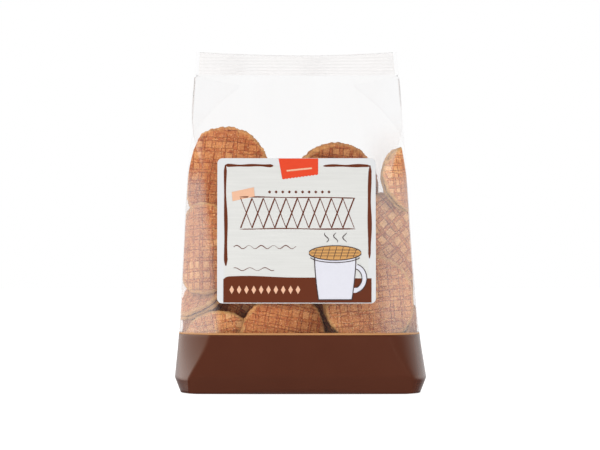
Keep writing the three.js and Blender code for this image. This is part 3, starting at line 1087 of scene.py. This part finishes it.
pores = add(tree, "ShaderNodeBump", {
    "Height": noise(tree, where, 800.0, 4.0, 0.7), "Strength": 1.0, "Distance": 0.34 * MM})
surface(tree, output, wafer_colour, 0.52, 0.4, {"Normal": pores.outputs[0]})

caramel, tree, output = new_material("caramel syrup")
tone = noise(tree, remembered(tree, "flat", "Vector"), 300.0)
surface(tree, output, mix_colours(tree, tone, srgb(78, 34, 14), srgb(128, 66, 28)), 0.28, 0.5)

# The grid's lines within one pitch: many on the faces that the front and back waffles turn
# towards the film, and few on all others.
dense = np.array([-1.15, -0.5, 0.5, 1.15, 2.0, 2.9, 3.8]) * MM
sparse = np.array([-1.2, -0.5, 0.5, 1.2, 2.9]) * MM
lift = syrup_thickness / 2
pit_depth, crumb = 0.36 * MM, 0.7 * MM
wafer_raggedness, syrup_raggedness = 0.13, 0.06  # as shares of the radius
dense_wafer = wafer("dense wafer", dense, lift, True)
sparse_wafer = wafer("sparse wafer", sparse, lift, False)
sparse_top = wafer("sparse top wafer", sparse, lift, True)
syrup_shape = syrup_disc("syrup")
for layer, shapes in (("front", [dense_wafer, sparse_wafer]), ("back", [dense_wafer, sparse_wafer]),
                      ("middle", [sparse_top, sparse_wafer])):
    meshes = laid_out(layer, shapes, baked, pit_depth, wafer_raggedness, crumb)
    join_meshes(f"waffles_{layer}", meshes)
syrups = [laid_out(layer, [syrup_shape], caramel, 0.0, syrup_raggedness, 0.0)[0]
          for layer in ("front", "back", "middle")]
join_meshes("syrup_layers", syrups)


# ---- The label -----------------------------------------------------------------------------
# Off-white paper, 87 by 80 mm with rounded corners, stuck on the front so that it follows the
# film. Its inks are thin closed shapes on top, each laid on the paper's own curve.

low_corner, high_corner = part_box("label")
label_left, label_right = low_corner.x, high_corner.x
label_low, label_high = low_corner.z, high_corner.z
paper_gap, paper_thickness = 0.18 * MM, 0.22 * MM
paper_front = paper_gap + paper_thickness


def slab(grid, inner, outer):
    """A closed sheet on the front film: grid is rows of (x, z), and the sheet lies between
    two distances in front of the film."""
    x, z = grid[..., 0], grid[..., 1]
    film_y = panel_y(x, z, -1)
    rows, columns = x.shape
    points = [np.stack([x, film_y - gap, z], axis=2).reshape(-1, 3) for gap in (outer, inner)]
    index = np.arange(rows * columns).reshape(rows, columns)
    faces = []
    for i in range(rows - 1):
        for j in range(columns - 1):
            quad = (index[i, j], index[i, j + 1], index[i + 1, j + 1], index[i + 1, j])
            faces.append(quad)
            faces.append(tuple(k + rows * columns for k in reversed(quad)))
    border = [*index[0, :-1], *index[:-1, -1], *index[-1, :0:-1], *index[:0:-1, 0]]
    for here, after in zip(border, border[1:] + border[:1]):
        faces.append((here, here + rows * columns, after + rows * columns, after))
    return np.concatenate(points), [tuple(int(k) for k in face) for face in faces]


def right_way(points, faces):
    """Turns a closed sheet's faces outwards, whichever way its grid runs."""
    a, b, c = points[list(faces[0][:3])]
    facing_front = np.cross(b - a, c - a)[1] < 0
    return faces if facing_front else inside_out(faces)


def sheet_piece(name, grids, inner, outer, material, stands_for=()):
    """One piece of several closed sheets on the label's curve."""
    points, faces, first = [], [], 0
    for grid in grids:
        some_points, some_faces = slab(np.asarray(grid), inner, outer)
        some_faces = right_way(some_points, some_faces)
        points.append(some_points)
        faces += [tuple(k + first for k in face) for face in some_faces]
        first += len(some_points)
    return new_piece(name, np.concatenate(points), faces, material, stands_for, False)


def between(lower, upper, rows=2):
    """A grid of points from one edge line to another."""
    lower, upper = np.asarray(lower, float), np.asarray(upper, float)
    shares = np.linspace(0, 1, rows)[:, None, None]
    return lower[None] * (1 - shares) + upper[None] * shares


def rounded_sheet(left, right, low, high, radius, columns, rows):
    """A grid over a rectangle with rounded corners."""
    turn = np.linspace(0, np.pi / 2, 6)
    ends = radius * (1 - np.cos(turn))
    x = np.concatenate([left + ends[:-1], np.linspace(left + radius, right - radius, columns),
                        right - ends[:-1][::-1]])
    out = np.maximum(np.maximum(left + radius - x, x - right + radius), 0)
    inset = radius - np.sqrt(np.maximum(radius**2 - out**2, 0))
    return between(np.stack([x, low + inset], 1), np.stack([x, high - inset], 1), rows)


paper, tree, output = new_material("label paper")
place = object_place(tree)
border = 4 * MM
past_ground = []
for along, low, high in zip(xyz(tree, place)[::2], (label_left, label_low), (label_right, label_high)):
    from_centre = calc(tree, "ABSOLUTE", calc(tree, "SUBTRACT", along, (low + high) / 2))
    past_ground.append(calc(tree, "SUBTRACT", from_centre, (high - low) / 2 - border))
in_border = add(tree, "ShaderNodeMapRange", {
    "Value": calc(tree, "MAXIMUM", *past_ground), "From Min": -0.5 * MM, "From Max": 0.8 * MM})
stretched = vector_calc(tree, "MULTIPLY", place, (40.0, 40.0, 900.0))
lines = noise(tree, stretched, 1.0, 2.0)
ground = mix_colours(tree, lines, srgb(195, 195, 192), srgb(208, 208, 205))
tinted = mix_colours(tree, in_border.outputs[0], ground, srgb(203, 204, 205))
fibre = add(tree, "ShaderNodeBump", {
    "Height": noise(tree, place, 2500.0, 2.0), "Strength": 0.15, "Distance": 0.05 * MM})
surface(tree, output, tinted, 0.5, 0.3, {"Normal": fibre.outputs[0]})
corner_radius = 2.7 * MM
sheet = rounded_sheet(label_left, label_right, label_low, label_high, corner_radius, 60, 56)
sheet_piece("label_paper", [sheet], paper_gap, paper_front, paper, ["label"])


# ---- The label's print ---------------------------------------------------------------------
# Plain inks: a red tag, an uneven brown frame, a band of crossed strokes, a peach patch, a
# brown bar with a wavy top and small lozenges, and a white mug with a waffle on it.

def ink(name, colour, variation=0.06):
    """A flat printing ink with a slightly uneven tone."""
    material, tree, output = new_material(name)
    base = srgb(*colour)
    darker = (*[c * (1 - variation) for c in base[:3]], 1)
    tone = mix_colours(tree, noise(tree, object_place(tree), 700.0), darker, base)
    surface(tree, output, tone, 0.45, 0.25)
    return material


def on_label(x, z):
    """A place on the label, from its lower left corner in millimetres, in the bag's frame."""
    x, z = np.broadcast_arrays(x, z)
    return np.stack([label_left + x * MM, label_low + z * MM], -1)


def curve(x, z):
    """Points of the label along a curve, in millimetres."""
    return np.stack(np.broadcast_arrays(x, z), 1)


def filled(lower, upper, rows=2):
    """The area between two curves."""
    return between(on_label(*lower.T), on_label(*upper.T), rows)


def stroke(path, widths):
    """A line along a path of label points, with one width all along or one at each point."""
    path = np.asarray(path, float)
    if len(path) == 2:
        path = path[0] + (path[1] - path[0]) * np.linspace(0, 1, 14)[:, None]
    widths = np.broadcast_to(widths, len(path))
    along = np.gradient(path, axis=0)
    along /= np.linalg.norm(along, axis=1, keepdims=True)
    across = np.stack([-along[:, 1], along[:, 0]], axis=1) * widths[:, None] / 2
    return filled(path - across, path + across)


def wobbly(start, end, width, seed, steps=40, drift=0.25):
    """A hand-drawn straight line: its middle wanders and its width comes and goes."""
    t = np.linspace(0, 1, steps)
    start, end = np.array(start, float), np.array(end, float)
    path = start + (end - start) * t[:, None]
    side = np.array([-(end - start)[1], (end - start)[0]]) / np.linalg.norm(end - start)
    path = path + side * (drift * np.sin(7 * t + seed) * np.sin(3.1 * t + 2 * seed))[:, None]
    swell = width * (1 + 0.35 * np.sin(9 * t + 1.7 * seed) * np.sin(4 * t + seed))
    return stroke(path, swell * np.clip(12 * np.minimum(t, 1 - t) + 0.35, 0, 1))


def lozenge(x, z, half_width, half_height):
    return on_label(np.array([[x - half_width, x], [x, x + half_width]]),
                    np.array([[z, z - half_height], [z + half_height, z]]))


layer_step, ink_thickness = 0.06 * MM, 0.04 * MM


def print_shapes(name, grids, material, layer=1):
    inner = paper_front + 0.02 * MM + (layer - 1) * layer_step
    return sheet_piece(name, grids, inner, inner + ink_thickness, material)


label_h = (label_high - label_low) / MM
brown_ink, red_ink = ink("brown ink", (97, 46, 27)), ink("red ink", (211, 70, 43))
peach_ink, white_ink = ink("peach ink", (219, 173, 144)), ink("white ink", (208, 208, 216))
tan_ink, grey_ink = ink("tan ink", (196, 147, 89)), ink("dark outline ink", (71, 60, 60))

frame_left, frame_right, frame_top = 4.4, 83.2, 75.0
t = np.linspace(0, 1, 60)
bar_top = 14.2 + 0.5 * np.sin(5 * t + 0.6) + 0.25 * np.sin(11 * t)
bar_top = bar_top - 1.4 * np.clip(1 - t * 30, 0, 1) ** 2
brown_shapes = [
    wobbly((frame_left, frame_top), (30.5, frame_top + 0.2), 1.4, 1.0),
    wobbly((57.8, frame_top), (frame_right, frame_top - 0.2), 1.4, 2.4),
    wobbly((frame_left, frame_top + 0.4), (frame_left + 0.3, 20.5), 1.6, 3.3, 60),
    wobbly((frame_right, frame_top + 0.2), (frame_right - 0.2, 24.5), 1.75, 5.1, 60),
    filled(curve(3.4 + 80.6 * t, 0.4), curve(3.4 + 80.6 * t, bar_top), 6),
]
# The headline's place: crossed strokes between two fine lines, like a wafer's grid.
top_line, low_line, first, last = 57.2, 41.0, 12.8, 74.6
crosses = 10
for k in range(crosses):
    x0, x1 = (first + step * (last - first) / crosses for step in (k, k + 1))
    brown_shapes.append(stroke([(x0, low_line), (x1, top_line)], 0.75))
    brown_shapes.append(stroke([(x0, top_line), (x1, low_line)], 0.4))
brown_shapes.append(wobbly((first - 0.6, top_line + 0.5), (last + 0.6, top_line + 0.3), 0.6, 0.7))
brown_shapes.append(wobbly((first - 0.6, low_line - 0.5), (last + 0.6, low_line - 0.6), 0.6, 1.9))
brown_shapes += [lozenge(28.5 + 3.6 * k, 60.6, 0.9, 0.9) for k in range(10)]
wave = np.linspace(0, 1, 70)
brown_shapes.append(stroke(curve(9 + 34 * wave, 30.6 + 0.9 * np.sin(32 * wave)),
                           0.32 + 0.16 * np.sin(17 * wave)))
brown_shapes.append(stroke(curve(9 + 22 * wave, 18.6 + 0.8 * np.sin(17 * wave + 1)),
                           0.3 + 0.1 * np.sin(9 * wave)))
print_shapes("print_brown", brown_shapes, brown_ink)

teeth = 0.9 * np.abs((11 * t) % 1 - 0.5)
tag_low = curve(35.4 + 19.6 * t, 67.3 + 2.6 * t + teeth)
tag_high = curve(33.4 + 21.6 * t, label_h - 0.15)
print_shapes("print_red", [filled(tag_low, tag_high, 6)], red_ink, 2)
patch = between(on_label([8.4, 20.4], [55.6, 58.2]), on_label([7.9, 20.0], [60.6, 63.2]), 4)
peach_shapes = [patch] + [lozenge(8.0 + 4.0 * k, 7.4, 1.25, 2.3) for k in range(10)]
peach_shapes += [stroke([(37.8, 72.2), (51.6, 73.6)], 0.9)]
print_shapes("print_peach", peach_shapes, peach_ink, 3)

# The mug: a body that narrows downwards, a round handle, and a waffle resting on its rim.
s = np.linspace(0, 1, 24)
mug_left, mug_right, mug_low, mug_high = 53.0, 75.5, 2.0, 25.0
narrowing = 2.2 * (1 - s) ** 1.6
mug_rise = mug_low + (mug_high - mug_low) * s
left_edge, right_edge = curve(mug_left + narrowing, mug_rise), curve(mug_right - narrowing, mug_rise)


def handle_line(half_turn, far_out=0.0):
    """A line along the handle, or beside it."""
    turn = np.linspace(-half_turn, half_turn, 30)
    return curve(mug_right - 1.2 + (5.8 + far_out) * np.cos(turn), 13.6 + (6.6 + far_out) * np.sin(turn))


disc_turn = np.linspace(0, np.pi, 40)
disc_x, disc_z, disc_a, disc_b = 64.2, 27.4, 14.2, 3.9
lower, upper = (curve(disc_x - disc_a * np.cos(disc_turn), disc_z + side * disc_b * np.sin(disc_turn))
                for side in (-1, 1))
print_shapes("print_white", [filled(left_edge, right_edge, 8), stroke(handle_line(1.6), 2.6)],
             white_ink, 2)
print_shapes("print_tan", [filled(lower[1:-1], upper[1:-1], 5)], tan_ink, 3)
outlines = [stroke(left_edge, 0.5), stroke(right_edge, 0.5), stroke([left_edge[0], right_edge[0]], 0.55),
            *(stroke(handle_line(1.28, far_out), 0.45) for far_out in (-1.3, 1.3)),
            stroke(upper[1:-1], 0.5), stroke(lower[1:-1], 0.55), stroke(lower[4:-4] - (0, 1.3), 0.45)]
for k in range(-3, 4):
    x = disc_x + 3.6 * k
    reach_z = disc_b * np.sqrt(max(0, 1 - (3.6 * k / disc_a) ** 2)) * 0.85
    outlines.append(stroke([(x - 0.9, disc_z - reach_z), (x + 0.9, disc_z + reach_z)], 0.3))
for k in (-1, 0, 1):
    reach_x = disc_a * np.sqrt(max(0, 1 - (1.6 * k / disc_b) ** 2)) * 0.93
    z = disc_z + 1.6 * k
    outlines.append(stroke([(disc_x - reach_x, z), (disc_x + reach_x, z)], 0.3))
for k, x in enumerate((59.5, 64.5, 69.5)):
    steam = curve(x + 1.1 * np.sin(5.5 * s + k), 33.2 + 5.2 * s)
    outlines.append(stroke(steam, 0.5 * np.sin(np.pi * (0.1 + 0.8 * s))))
print_shapes("print_outlines", outlines, grey_ink, 4)
